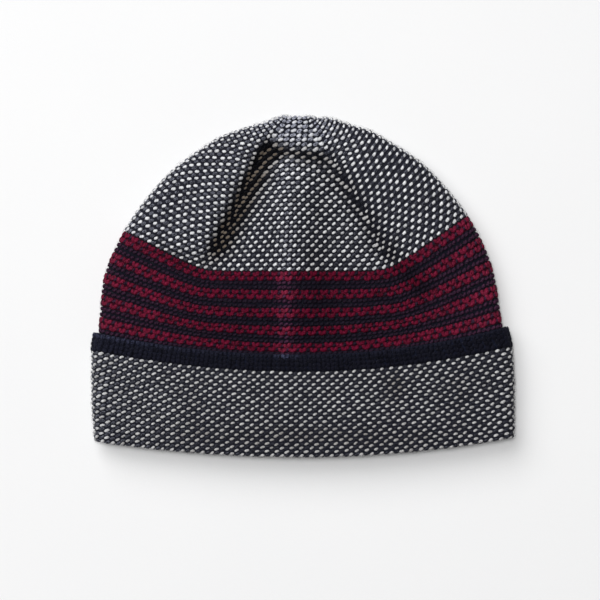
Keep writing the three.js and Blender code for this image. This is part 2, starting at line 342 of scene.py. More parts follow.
def fold_height(folds, x, y):
    """Height that the creases and ridges add at points of the front."""
    height = np.zeros_like(x)
    for x0, y0, x1, y1, rise, left, right in folds:
        length = math.hypot(x1 - x0, y1 - y0)
        along = ((x1 - x0) / length, (y1 - y0) / length)
        share = ((x - x0) * along[0] + (y - y0) * along[1]) / length
        offset = (x - x0) * along[1] - (y - y0) * along[0]
        width = np.where(offset > 0, right, left)
        height += rise * np.exp(-(offset / width) ** 2) * np.exp(-np.abs(2 * share - 1) ** 6)
    return height


def loop_point(table, folds, turn, row):
    """Points of knitted rows. A turn runs once around the loop, from the middle of the front at 0
    by the right side fold at 0.25 and the middle of the back at 0.5 to the left fold at 0.75."""
    at = {name: column_at(table, name, row) for name in COLUMNS[1:]}
    fold = at["fold"]
    half = (at["right"] - at["left"]) / 2
    straight = half - fold
    quarter = straight + math.pi / 2 * fold
    around = np.mod(turn, 1)
    mirrored = around > 0.5
    distance = np.where(mirrored, 1 - around, around) * 4 * quarter
    on_back = distance > straight + math.pi * fold
    on_fold = (distance > straight) & ~on_back
    angle = (distance - straight) / fold
    across = np.where(on_back, 2 * straight + math.pi * fold - distance,
                      np.where(on_fold, straight + fold * np.sin(angle), distance))
    lift = np.where(on_back, 0, np.where(on_fold, (1 + np.cos(angle)) / 2, 1))
    side = np.where(mirrored, -across, across) / half
    x = (at["left"] + at["right"]) / 2 + side * half
    rise = np.where(side < 0, at["left_rise"], at["right_rise"])
    share = rise_share(side, at["bend"], at["line"])
    pull = at["arch"] * (np.exp(-(side / ARCH_PEAK) ** 2) - 1) * (1 - side ** 4)
    front = at["front"] + rise * share + pull
    back = at["back"] + (at["front"] + rise - at["back"]) * share
    y = back + (front - back) * lift
    inward = 1 - np.minimum(1, across / straight) ** 2
    swell = at["loft"] * inward ** 1.5 + fold_height(folds, x, y) * np.minimum(1, 3 * inward)
    z = at["floor"] + 2 * fold * lift + np.where(on_fold | on_back, 0, swell)
    return np.stack([x, y, z], -1)


def body_point(turn, row):
    """Middle of the band's and the crown's fabric. Past the table the gores close at the tip."""
    last = BODY_TABLE["row"][-1]
    point = loop_point(BODY_TABLE, BODY_FOLDS, turn, row)
    share = np.clip((row - last) / (TIP_ROW - last), 0, 1)[..., None]
    return point + (TIP - point) * share


def cuff_point(turn, row):
    """Surface between the two layers of the cuff."""
    return loop_point(CUFF_TABLE, CUFF_FOLDS, turn, row)


def unit(vectors):
    return vectors / np.maximum(np.linalg.norm(vectors, axis=-1, keepdims=True), 1e-9)


def facing(point, turn, row, part_turn=0.004, part_row=0.25):
    """Outward direction of the fabric, from points a little to each side."""
    around = point(turn + part_turn, row) - point(turn - part_turn, row)
    along = point(turn, row + part_row) - point(turn, row - part_row)
    return unit(np.cross(around, along))


def body_place(turn, row):
    """Middle of the body's fabric and its outward direction, which stops turning just before the
    tip."""
    top = np.minimum(row, TIP_ROW - 0.4)
    return body_point(turn, row), facing(body_point, turn, top)


def cuff_place(turn, row):
    """Middle of the cuff's outer layer and its outward direction. Rows below 0 go around the fold
    at the mouth and on into the cap, along the covered layer."""
    flat = np.where(row >= 0, row, np.maximum(0, -row - BEND_ROWS))
    base = cuff_point(turn, flat)
    out = facing(cuff_point, turn, flat)
    down = unit(cuff_point(turn, flat * 0) - cuff_point(turn, flat * 0 + 1))
    angle = math.pi * np.clip(-row / BEND_ROWS, 0, 1)[..., None]
    direction = out * np.cos(angle) + down * np.sin(angle)
    return base + LAYER * direction, direction


def body_turn(gore, column, row):
    """Turn of a stitch of the band or crown. Columns count from the middle of the front and back
    gores and outward from the front's gore lines in the side gores."""
    at = {name: column_at(GORE_TABLE, name, row) for name in GORE_COLUMNS[1:]}
    front = at["front"]
    fold = front + at["side"]
    middle = fold + at["back"]
    count = np.select(
        [gore == FRONT_GORE, gore == RIGHT_GORE, gore == BACK_GORE],
        [column, front + column - at["lost"], middle + column],
        -front + column + at["lost"])
    line = np.where(count < 0, at["left_line"], at["right_line"])
    over = np.abs(count) > middle
    steps = np.where(over, 2 * middle - np.abs(count), np.abs(count))
    turn = (line * np.clip(steps / front, 0, 1)
            + (0.25 - line) * np.clip((steps - front) / at["side"], 0, 1)
            + 0.25 * np.clip((steps - fold) / at["back"], 0, 1))
    return np.sign(count) * np.where(over, 1 - turn, turn)


def cuff_turn(gore, column, row):
    """Turn of a stitch of the cuff. Its columns draw together in front towards the border. The cuff
    has no gores, so gore is only there to match body_turn."""
    share = np.clip(row, 0, COVERED_END) / COVERED_END
    even = column / CUFF_STITCHES
    gather = (GATHER * share + LATE_GATHER * share ** 2) / (2 * math.pi)
    return even - gather * np.sin(2 * math.pi * even)


# Meshes

def keep(piece, finish, replaced=()):
    """Gives a piece its finish and its body, and hides the solids that it stands for."""
    piece.data.materials.clear()
    piece.data.materials.append(finish)
    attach(piece, BODY)
    if replaced:
        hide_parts(*replaced)
    return piece


def new_object(name, mesh):
    piece = bpy.data.objects.new(name, mesh)
    bpy.context.scene.collection.objects.link(piece)
    return piece


def wall(name, rings, columns):
    """A closed wall, from a grid whose lines are bent onto rings of points and whose seams are
    welded. Each ring comes with its row and its share of the inside, and columns is the number of
    stitches around it, for the pattern."""
    points, rows, insides = zip(*rings)
    points = np.array(points)
    count, around = points.shape[:2]
    bm = bmesh.new()
    bmesh.ops.create_grid(bm, x_segments=around, y_segments=count, size=1)
    wide = len({round(v.co.x, 6) for v in bm.verts}) - 1
    high = len({round(v.co.y, 6) for v in bm.verts}) - 1
    pattern = bm.loops.layers.uv.new("knit")
    inside = bm.verts.layers.float.new("inside")
    hollow = bm.verts.layers.float.new("hollow")
    # Painted shade in the dents of the front, from 0 to 1
    dents = np.clip(-fold_height(BODY_FOLDS, points[..., 0], points[..., 1]) / DENT_DEPTH, 0, 1)
    spot = {v: (round((v.co.x + 1) / 2 * wide), round((v.co.y + 1) / 2 * high)) for v in bm.verts}
    for face in bm.faces:
        face.smooth = True
        middle = sum(spot[v][1] for v in face.verts) / len(face.verts)
        for loop in face.loops:
            i, k = spot[loop.vert]
            edge = k if k < count else (0 if middle < count / 2 else count - 1)
            loop[pattern].uv = (columns * i / wide, rows[edge])
    for v, (i, k) in spot.items():
        v.co = points[k % count][i % around] * MM
        v[inside] = insides[k % count]
        v[hollow] = dents[k % count][i % around]
    bmesh.ops.remove_doubles(bm, verts=bm.verts, dist=1e-6)
    mesh = bpy.data.meshes.new(name)
    bm.to_mesh(mesh)
    bm.free()
    return new_object(name, mesh)


def places_around(count):
    """Turns of points around a loop, from its left side fold on."""
    return (np.arange(count) - count / 4) / count


def rings_at(place, turns, rows, outward, inside):
    """Points around rows, at a distance outward from the fabric's middle, each with its row and its
    share of the inside."""
    rings = []
    for row in rows:
        point, out = place(turns, np.full(len(turns), float(row)))
        rings.append((point + out * outward, row, inside))
    return rings


def arm(bm, shape, sides, mark, share):
    """One arm of a stitch: a grain of yarn, tilted in the stitch's cell."""
    across, along, tilt, half_length, half_width, sink = shape
    made = bmesh.ops.create_uvsphere(bm, u_segments=sides, v_segments=4, radius=1, calc_uvs=True)
    turned = math.radians(tilt)
    for v in made["verts"]:
        side, out, length = v.co
        v[mark] = share
        v.co = (across + half_length * length * math.cos(turned) + half_width * side * math.sin(turned),
                along + half_length * length * math.sin(turned) - half_width * side * math.cos(turned),
                out + 1 - sink - ARM_BOW * length * length)
    return made["verts"]


def prototype(arms, sides):
    """The arms of a stitch as arrays, in which each point's mark is the number of its arm."""
    bm = bmesh.new()
    bm.loops.layers.uv.new("strand")
    mark = bm.verts.layers.float.new("arm")
    for number, shape in enumerate(arms):
        arm(bm, shape, sides, mark, number)
    bmesh.ops.recalc_face_normals(bm, faces=bm.faces)
    made = as_arrays(bm, "arm", "strand")
    bm.free()
    return made


def as_arrays(bm, mark_name, uv_name):
    """A small form as arrays: points, their marks, corners, sizes of the faces and UVs."""
    bm.verts.index_update()
    mark = bm.verts.layers.float[mark_name]
    uv = bm.loops.layers.uv[uv_name]
    points = np.array([v.co for v in bm.verts])
    marks = np.array([v[mark] for v in bm.verts])
    corners = np.array([loop.vert.index for face in bm.faces for loop in face.loops])
    sizes = np.array([len(face.loops) for face in bm.faces])
    uvs = np.array([loop[uv].uv for face in bm.faces for loop in face.loops])
    return points, marks, corners, sizes, uvs


def repeated(name, points, corners, sizes, uvs, values):
    """One joined mesh of many copies of a small form. points is one array of them for each copy, and
    values holds the numbers of each named attribute, for each copy or each of its points."""
    copies, each = points.shape[:2]
    mesh = bpy.data.meshes.new(name)
    mesh.vertices.add(copies * each)
    mesh.vertices.foreach_set("co", (points.reshape(-1, 3) * MM).astype(np.float32).ravel())
    all_corners = (corners[None, :] + each * np.arange(copies)[:, None]).ravel()
    mesh.loops.add(len(all_corners))
    mesh.loops.foreach_set("vertex_index", all_corners.astype(np.int32))
    all_sizes = np.tile(sizes, copies)
    mesh.polygons.add(len(all_sizes))
    starts = np.concatenate([[0], np.cumsum(all_sizes)[:-1]]).astype(np.int32)
    mesh.polygons.foreach_set("loop_start", starts)
    mesh.update(calc_edges=True)
    mesh.polygons.foreach_set("use_smooth", np.ones(len(all_sizes), bool))
    layer = mesh.uv_layers.new(name="strand")
    layer.uv.foreach_set("vector", np.tile(uvs, (copies, 1)).astype(np.float32).ravel())
    for attribute, numbers in values.items():
        layer = mesh.attributes.new(attribute, "FLOAT", "POINT")
        spread = np.broadcast_to(numbers, (copies, each))
        layer.data.foreach_set("value", spread.astype(np.float32).ravel())
    if mesh.validate():
        raise RuntimeError(f"{name} isn't a sound mesh")
    return new_object(name, mesh)


def lie_of(spot):
    """How the cells of stitches lie: how far they slant, how tall they are for their width and the
    angle at which their rows climb to the right."""
    step = spot(0.5, 0)[0] - spot(-0.5, 0)[0]
    rise = spot(0, 0.5)[0] - spot(0, -0.5)[0]
    slant = (np.sum(step * rise, -1) / np.sum(step * step, -1)).clip(-MOST_SLANT, MOST_SLANT)
    upright = np.linalg.norm(rise - slant[..., None] * step, axis=-1)
    tall = (upright / np.linalg.norm(step, axis=-1)).clip(SHORTEST, TALLEST)
    climb = np.arctan2(step[..., 1], np.hypot(step[..., 0], step[..., 2]))
    return slant, tall, climb


def turned_back(row, climb, turned):
    """Share of their row's climb that stitches turn back."""
    if turned:
        return CUFF_LEAN
    falling = column_at(LEAN_TABLE, "falling", row)
    rising = column_at(LEAN_TABLE, "rising", row)
    return np.where(climb < 0, falling, rising)


def felt_and_sheen_at(home, fold, row, turned):
    """How felted stitches are, with painted sheen and highlights as more stray fibres on the tip, the
    ridge, fold crests, the sides and the top, from their places and the height of the folds under them.
    """
    x, y, _ = np.moveaxis(home, -1, 0)
    tip = TIP_SHEEN * np.exp(-np.sum((home - TIP_SHEEN_CENTRE) ** 2, -1) / TIP_REACH ** 2)
    left = (CUFF_LEFT_SHEEN if turned else LEFT_SHEEN) * np.minimum(x / SIDE_REACH, 0) ** 2
    crest = CREST_SHEEN * np.clip(fold / CREST_HEIGHT, 0, 1) ** 2
    top = TOP_SHEEN * np.maximum(y / SIDE_REACH, 0) ** 2 * np.minimum(1, (x / TOP_MIDDLE) ** 2)
    ridge = (RIDGE_SHEEN * np.exp(-((x - RIDGE) / RIDGE_WIDTH) ** 2) * (y > RIDGE_START)
             * np.where(y > RIDGE_FADES, RIDGE_LEFT, 1))
    right = RIGHT_SHEEN * np.maximum(x / SIDE_REACH, 0) ** 2 * (row < BAND_TOP) * (not turned)
    return FELT + tip + left + crest + top + ridge + right


def patch_shade(home):
    """How dim the patches of painted shade make stitches at their places."""
    x, y, _ = np.moveaxis(home, -1, 0)
    return sum(dim * np.exp(-((x - right) / wide) ** 2 - ((y - up) / long) ** 2)
               for right, up, wide, long, dim in SHADE_PATCHES)


def stitches(name, settings, place, turn_of, cells, shape, sides, seed, turned=False,
             dimmed=0.0, haze=0.0, rim=0.0):
    """A piece of yarn stitches. cells is one row for each stitch: its gore, its column and its
    knitted row. turned stitches lie upside down, as on a turned-up cuff. The argument after turned
    is how much dimmer and browner they all are, and the painted shade of dents and patches is
    added to it. The last two are the shares of stray fibres all over a stitch and along its edges,
    and with them come painted sheen and highlights."""
    form, arms, corners, sizes, uvs = prototype(shape, sides)
    chance = np.random.RandomState(seed)
    count = len(cells)
    loose = settings.looseness
    first = arms[None, :] < 0.5

    def uneven(of_arms, of_stitch=0.0):
        draw = chance.normal(size=(count, 2)).clip(-2, 2) * of_arms * loose
        change = np.where(first, draw[:, :1], draw[:, 1:])
        if of_stitch:
            change = change + chance.normal(size=(count, 1)).clip(-2, 2) * of_stitch * loose
        return change

    gore = cells[:, 0:1]
    column = cells[:, 1:2] + 0.5
    row = cells[:, 2:3] + 0.5

    def spot(right_by, up_by):
        return place(turn_of(gore, column + right_by, row + up_by), row + up_by)

    slant, tall, climb = lie_of(spot)
    across = form[None, :, 0] - 0.5
    along = (form[None, :, 1] - 0.5) * tall
    size = 1 + uneven(*UNEVEN_SIZE)
    spin = uneven(*UNEVEN_TURN) - turned_back(row, climb, turned) * climb
    across, along = (size * (across * np.cos(spin) - along * np.sin(spin)),
                     size * (across * np.sin(spin) + along * np.cos(spin)))
    across = across + uneven(*UNEVEN_PLACE)
    along = along + uneven(*UNEVEN_PLACE)
    if turned:
        across = -across
        along = -along
    along = along / tall ** TALL_CELL
    point, out = spot(across - slant * along, along)
    middle = settings.yarn_height / MM
    thick = settings.yarn_thickness / MM
    height = middle - thick + thick * form[None, :, 2] + uneven(UNEVEN_HEIGHT)
    points = point + out * height[..., None]
    points[..., 2] = np.maximum(points[..., 2], FLOOR_GAP)
    home = spot(0, 0)[0]
    fold = fold_height(BODY_FOLDS, home[..., 0], home[..., 1])
    felt_and_sheen = felt_and_sheen_at(home, fold, row, turned)
    # Painted shade on the low parts of each arm, where shade falls between the stitches
    lift = np.clip((form[None, :, 2] - LIFT_START) / LIFT_SPAN, 0, 1)
    values = {
        "tone": TONE - TONE_SPREAD * chance.uniform(0, 1, (count, 1)) ** TONE_SKEW,
        # Painted shade of dents and shaded patches, added to the even dimming
        "hollow": np.clip(dimmed + patch_shade(home) - fold / DENT_DEPTH, 0, 1),
        # Stray fibres all over each stitch and along its low edges, raised by the painted sheen and
        # highlights where the light catches the cap
        "haze": haze * felt_and_sheen + rim * (0.8 + 0.25 * felt_and_sheen) * (1 - lift) ** 1.5,
        "lift": lift,
    }
    return repeated(name, points, corners, sizes, uvs, values)


def body_cells(first, last):
    """Cells of the stitches of the band or crown: gore, column, row and place in the checks."""
    cells = []
    shift = {FRONT_GORE: 0, RIGHT_GORE: FRONT_HALF, BACK_GORE: 0, LEFT_GORE: -FRONT_HALF}
    for row in range(first, last):
        at = {name: float(column_at(GORE_TABLE, name, row + 0.5)) for name in GORE_COLUMNS[1:]}
        half = round(at["front"])
        start = round(at["lost"] + half - at["front"])
        end = round(at["lost"] + at["side"] + at["back"] - half)
        columns = [(gore, column) for gore in (FRONT_GORE, BACK_GORE) for column in range(-half, half)]
        columns += [(RIGHT_GORE, column) for column in range(start, end)]
        columns += [(LEFT_GORE, column) for column in range(-end, -start)]
        cells += [(gore, column, row, (column + shift[gore] + row) % 2) for gore, column in columns]
    return np.array(cells, float)


def cuff_cells(first, last):
    """Cells of the stitches of the cuff, with the same four numbers."""
    return np.array([(0, column, row, (column + row) % 2)
                     for row in range(first, last) for column in range(CUFF_STITCHES)], float)


# Finishes

class Shade:
    """A shader socket in plain arithmetic. Each operator adds the Math node that works it out."""

    def __init__(self, finish, socket):
        self.finish = finish
        self.socket = socket

    def math(self, operation, first, second=0.0):
        return self.finish.node("ShaderNodeMath", {"operation": operation}, {0: first, 1: second})

    def __add__(self, other):
        return self.math("ADD", self, other)

    def __radd__(self, other):
        return self.math("ADD", other, self)

    def __sub__(self, other):
        return self.math("SUBTRACT", self, other)

    def __rsub__(self, other):
        return self.math("SUBTRACT", other, self)

    def __mul__(self, other):
        return self.math("MULTIPLY", self, other)

    def __abs__(self):
        return self.math("ABSOLUTE", self)

    def __mod__(self, other):
        return self.math("FLOORED_MODULO", self, other)

    def sine(self):
        return self.math("SINE", self)

    def cosine(self):
        return self.math("COSINE", self)

    def floor(self):
        return self.math("FLOOR", self)

    def at_least(self, limit):
        return self.math("MAXIMUM", self, limit)

    def at_most(self, limit):
        return self.math("MINIMUM", self, limit)

    def below(self, limit):
        return self.math("LESS_THAN", self, limit)


class Finish:
    """A material whose nodes are added as its pattern is written down."""

    def __init__(self, name, roughness=0.9, sheen=0.0, sheen_tint=(1, 1, 1)):
        self.material = bpy.data.materials.new(name)
        self.material.use_nodes = True
        self.tree = self.material.node_tree
        self.shader = self.tree.nodes["Principled BSDF"]
        for socket, value in (("Roughness", roughness), ("Specular IOR Level", 0.06),
                              ("Sheen Weight", sheen), ("Sheen Roughness", 0.5),
                              ("Sheen Tint", (*sheen_tint, 1))):
            self.shader.inputs[socket].default_value = value

    def feed(self, socket, value):
        if isinstance(value, Shade):
            self.tree.links.new(value.socket, socket)
        else:
            socket.default_value = value

    def node(self, kind, settings=None, sockets=None, output=0):
        made = self.tree.nodes.new(kind)
        for name, value in (settings or {}).items():
            setattr(made, name, value)
        for name, value in (sockets or {}).items():
            self.feed(made.inputs[name], value)
        return Shade(self, made.outputs[output])

    def attribute(self, name):
        return self.node("ShaderNodeAttribute", {"attribute_name": name}, output="Fac")

    def uv(self, name):
        """The two numbers of a UV map."""
        pair = self.node("ShaderNodeUVMap", {"uv_map": name})
        parts = self.tree.nodes.new("ShaderNodeSeparateXYZ")
        self.feed(parts.inputs[0], pair)
        return Shade(self, parts.outputs[0]), Shade(self, parts.outputs[1])

    def noise(self, scale, detail=2.0, stretch=(1, 1, 1), turned=0.0):
        """Noise on Object coordinates, about 0.5."""
        place = self.node("ShaderNodeTexCoord", output="Object")
        if turned:
            place = self.node("ShaderNodeMapping", None,
                              {"Vector": place, "Rotation": (0, 0, math.radians(turned))})
        place = self.node("ShaderNodeMapping", None, {"Vector": place, "Scale": stretch})
        return self.node("ShaderNodeTexNoise", None,
                         {"Vector": place, "Scale": scale, "Detail": detail})

    def mix(self, factor, first, second):
        """Mixes two colours."""
        made = self.tree.nodes.new("ShaderNodeMix")
        made.data_type = "RGBA"
        self.feed(made.inputs[0], factor)
        for socket, value in ((made.inputs[6], first), (made.inputs[7], second)):
            self.feed(socket, value if isinstance(value, Shade) else (*value, 1))
        return Shade(self, made.outputs[2])

    def bump(self, height, distance):
        bump = self.node("ShaderNodeBump", None, {"Height": height, "Distance": distance})
        self.feed(self.shader.inputs["Normal"], bump)

    def colour(self, value):
        self.feed(self.shader.inputs["Base Color"], value)


# Stray fibres on the birdseye knitting and the hairs, on the band's burgundy and navy rows and on
# the border's ribs, which also colour the painted sheen and highlights laid on with them, then the
# lighter fibres of the walls behind the stitches and behind the ribs, which also colour the
# painted highlight on the ribs
PALE_FUZZ = (0.58, 0.60, 0.72)
BURGUNDY_FUZZ = (0.36, 0.04, 0.09)
NAVY_FUZZ = (0.16, 0.045, 0.11)
BORDER_FUZZ = (0.060, 0.065, 0.120)
WALL_FUZZ = (0.025, 0.026, 0.036)
EDGE_FUZZ = (0.012, 0.015, 0.034)

# Yarns: the setting with the colour, the share of its brightness, the sheen, how much the dye
# varies, and the colours of the flecks and of the stray fibres
YARNS = {
    "pale_yarn": ("pale", 1, 0.10, 0.36, (0.36, 0.36, 0.38), PALE_FUZZ),
    "navy_yarn": ("navy", 1, 0.04, 0.50, (0.020, 0.020, 0.032), PALE_FUZZ),
    # The border's yarn is the navy yarn darkened, as painted shade over the ribbed border
    "border_yarn": ("navy", 0.6, 0.02, 0.50, (0.012, 0.012, 0.020), BORDER_FUZZ),
    "band_navy_yarn": ("navy", 1, 0.02, 0.50, (0.020, 0.018, 0.030), NAVY_FUZZ),
    "burgundy_yarn": ("burgundy", 1, 0.0, 0.7, (0.32, 0.026, 0.085), BURGUNDY_FUZZ),
    "hair_wool": ("hair", 1, 0.1, 0.5, (0.14, 0.14, 0.16), PALE_FUZZ),
}

# Noise scales of single fibres, of strands of them and of uneven dye, the angle of the strands, and
# how often the two plies of a yarn twist along an arm of a stitch
FIBRES = 2600
WALL_FIBRES = 2200
STRANDS = 2400
DYE = 60
STRAND_ANGLE = -48
PLIES = 2
PLY_TWIST = 2.5
WRONG_SIDE = 0.8  # brightness of the pale yarn on the wrong side of the knitting
WRONG_SIDE_BURGUNDY = 0.9


def times(colour, factor):
    """A colour made lighter or darker."""
    return tuple(min(1.0, part * factor) for part in colour)


def yarn_finish(name, colour, sheen, variety, fleck, fuzz):
    """Spun wool: two plies that twist about each other, uneven dye and stray fibres. Stitches given an
    even dimming, and stitches in the painted shade of dents and patches, are dimmer and browner;
    painted shade makes the low parts of every stitch darker, and painted sheen and highlights come
    with the stray fibres."""
    finish = Finish(name, 0.92, sheen, unit(np.array(fuzz)) * 1.5)
    around, along = finish.uv("strand")
    ply = ((around * PLIES + along * PLY_TWIST) * (2 * math.pi)).sine()
    fibre = finish.noise(FIBRES, 3)
    dye = finish.noise(DYE)
    strand = finish.noise(STRANDS, stretch=(0.3, 1, 1), turned=STRAND_ANGLE)
    # The dye differs from stitch to stitch, from strand to strand and from place to place
    tone = finish.attribute("tone") * 0.3 + 0.5
    shade = tone + (strand - 0.5) * 2 + (dye - 0.5) * 0.6
    base = finish.mix(shade, times(colour, 1 - variety), times(colour, 1 + variety))
    flecked = finish.mix((fibre - 0.52) * 4, base, fleck)
    # Painted shade, on top of any even dimming: stitches in dents and shaded patches are dim and
    # brownish, and the low parts of every stitch are darker, where shade falls between the stitches
    dim = (colour[0] * 0.17, colour[1] * 0.12, colour[2] * 0.07)
    hollow = finish.attribute("hollow")
    dimmed = finish.mix(hollow * (0.45 + hollow * 0.5), flecked, dim)
    depth = 1 - finish.attribute("lift")
    shaded = finish.mix(depth * (0.35 + depth * 0.5), dimmed, times(colour, 0.12))
    # Stray fibres, with the painted sheen and highlights laid on as more of them, lie on top of all
    # that, but not in the painted shade of a dent
    clear = 1 - (hollow * 1.3).at_most(1)
    stray = finish.attribute("haze") * (strand * 6 - 2.1)
    finish.colour(finish.mix(stray * clear, shaded, fuzz))
    finish.bump(ply * 0.35 + fibre, 0.00025)
    return finish.material


def wall_finish(name, outer, fuzz, first, second, striped=False, ribbed=False):
    """The fabric behind the stitches, in the colours outer and fuzz. Its inside is the wrong side of
    the knitting: rows of purl bumps in the colours first and second."""
    finish = Finish(name, 0.95, 0.03, (0.8, 0.85, 1.0))
    column, row = finish.uv("knit")
    inside = finish.attribute("inside")
    checker = (column.floor() + row.floor()) % 2
    outside = (outer, fuzz)
    if ribbed:
        # Painted shade in the grooves between the ribs and a painted highlight on their crests; along
        # the cast-on edge lighter fibres and a painted highlight
        crest = (column * math.pi).cosine() * 0.5 + 0.5
        edge = (row - CAST_ON).at_least(0) * 0.5
        outside = (finish.mix(crest, times(outer, 0.6), outer), finish.mix(crest + edge, outer, fuzz))
    if striped:
        stripe = ((BAND_TOP - 1 - row.floor()) % STRIPE_ROWS).below(BURGUNDY_ROWS - 0.5)
        checker = checker * stripe
        outside = (outer, finish.mix(stripe, outer, fuzz))
    fibre = finish.noise(WALL_FIBRES, 3)
    colours = finish.mix(checker, first, second)
    mottled = finish.mix(fibre * 0.6, colours, times(first, 0.6))
    # Painted shade: the outside is darker in the dents
    dimmed = finish.mix(finish.attribute("hollow"), finish.mix(fibre, *outside), times(outer, 0.3))
    finish.colour(finish.mix(inside, dimmed, mottled))
    across = abs((column * math.pi + row.floor() * 1.57).sine())
    purl = abs((row * math.pi).sine()) * 0.7 + across * 0.3
    finish.bump(purl * inside + fibre * 0.3, 0.0008)
    return finish.material


def floor_finish():
    """Plain pale paper."""
    finish = Finish("pale_floor", 0.8)
    finish.colour(finish.mix(finish.noise(8, 2), (0.86, 0.86, 0.865), (0.885, 0.885, 0.885)))
    finish.bump(finish.noise(900, 2), 0.00005)
    return finish.material


# Operators

class PieceOperator:
    """What the operators of the cap share."""
    bl_options = {"REGISTER", "UNDO"}

    @staticmethod
    def yarn(context, name):
        """The finish of a yarn, which is made when a piece first needs it."""
        made = bpy.data.materials.get(name)
        if made:
            return made
        setting, brightness, sheen, variety, fleck, fuzz = YARNS[name]
        colour = times(getattr(context.scene.cap_yarn, setting), brightness)
        return yarn_finish(name, colour, sheen, variety, fleck, fuzz)

    @staticmethod
    def birdseye_wall(context, name):
        """The finish of a wall behind birdseye knitting."""
        colours = context.scene.cap_yarn
        navy = tuple(colours.navy)
        return wall_finish(name, navy, WALL_FUZZ, navy, times(colours.pale, WRONG_SIDE))

    def birdseye(self, context, section, cells, place, turn_of, arms, seed, haze, rim,
                 turned=False, dimmed=0.0):
        """Pale and navy stitches in turn, as two pieces. Only the navy ones have a rim of stray
        fibres, and only the pale ones are made evenly dimmer and browner."""
        for parity, yarn, sides in ((0, "pale", 6), (1, "navy", 5)):
            piece = stitches(f"{section}_{yarn}_stitches", context.scene.cap_knit, place, turn_of,
                             cells[cells[:, 3] == parity], arms, sides, seed + parity, turned=turned,
                             dimmed=dimmed * (1 - parity), haze=haze, rim=rim * parity)
            keep(piece, self.yarn(context, f"{yarn}_yarn"))


class CAP_OT_crown(PieceOperator, bpy.types.Operator):
    """Knits the crown: four gores in birdseye that narrow to the tip"""
    bl_idname = "cap.crown"
    bl_label = "Crown"

    def execute(self, context):
        turns = places_around(CROWN_POINTS)
        outer = [*np.linspace(BAND_TOP + SEAM, 54, 25), *TIP_RINGS]
        lean = unit(np.array([0, 0.2, -1]))
        rings = [(np.tile(TIP - lean * HALF_WALL, (len(turns), 1)), TIP_ROW, 1)]
        rings += rings_at(body_place, turns, reversed(outer), -HALF_WALL, 1)
        rings += rings_at(body_place, turns, outer, SKIN, 0)
        rings.append((np.tile(TIP + lean * SKIN, (len(turns), 1)), TIP_ROW, 0))
        finish = self.birdseye_wall(context, "crown_wall")
        piece = wall("crown_wall", rings, BODY_STITCHES)
        keep(piece, finish, ("crown",))
        self.birdseye(context, "crown", body_cells(BAND_TOP, CROWN_TOP), body_place, body_turn,
                      SLIM_ARMS, seed=11, haze=0.020, rim=0.24)
        return {"FINISHED"}


class CAP_OT_band(PieceOperator, bpy.types.Operator):
    """Knits the band: pairs of burgundy and navy rows"""
    bl_idname = "cap.band"
    bl_label = "Striped band"

    def execute(self, context):
        knit = context.scene.cap_knit
        colours = context.scene.cap_yarn
        turns = places_around(BAND_POINTS)
        rows = list(np.linspace(0, BAND_TOP - SEAM, 15))
        rings = rings_at(body_place, turns, reversed(rows), -HALF_WALL, 1)
        rings += rings_at(body_place, turns, rows, SKIN, 0)
        navy = tuple(colours.navy)
        finish = wall_finish("band_wall", navy, tuple(colours.burgundy), navy,
                             times(colours.burgundy, WRONG_SIDE_BURGUNDY), striped=True)
        piece = wall("band_wall", rings, BODY_STITCHES)
        keep(piece, finish, ("striped_band",))
        cells = body_cells(0, BAND_TOP)
        striped = (cells[:, 3] == 0) & ((BAND_TOP - 1 - cells[:, 2]) % STRIPE_ROWS < BURGUNDY_ROWS)
        piece = stitches("band_burgundy_stitches", knit, body_place, body_turn, cells[striped],
                         FULL_ARMS, 6, seed=21, haze=0.03)
        keep(piece, self.yarn(context, "burgundy_yarn"))
        piece = stitches("band_navy_stitches", knit, body_place, body_turn, cells[~striped],
                         SLIM_ARMS, 5, seed=22, haze=0.03)
        keep(piece, self.yarn(context, "band_navy_yarn"))
        return {"FINISHED"}


class CAP_OT_cuff(PieceOperator, bpy.types.Operator):
    """Knits the turned-up cuff: birdseye outside, around the fold and a way into the mouth"""
    bl_idname = "cap.cuff"
    bl_label = "Cuff"

    def execute(self, context):
        turns = places_around(CUFF_POINTS)
        top = BORDER_START - JOINT
        end = -(COVERED_END + BEND_ROWS)
        cover = -(INNER_ROWS + 0.5)
        inner = np.linspace(end, cover - 1, 8)
        shown = [*np.linspace(cover, -BEND_ROWS, 5), *np.linspace(-BEND_ROWS + 0.4, 0, 6),
                 *np.linspace(1.4, top, 14)]
        hidden = [*np.linspace(top, 0, 6), *np.linspace(-BEND_ROWS, end, 6)]
        rings = rings_at(cuff_place, turns, inner, COVERED_SKIN, 1)
        rings += rings_at(cuff_place, turns, shown, SKIN, 0)
        rings += rings_at(cuff_place, turns, hidden, -HALF_WALL, 0)
        finish = self.birdseye_wall(context, "cuff_wall")
        piece = wall("cuff_wall", rings, CUFF_STITCHES)
        keep(piece, finish, ("cuff",))
        self.birdseye(context, "cuff", cuff_cells(-INNER_ROWS, BORDER_START), cuff_place, cuff_turn,
                      CUFF_ARMS, seed=31, haze=0.014, rim=0.13, turned=True, dimmed=0.4)
        return {"FINISHED"}


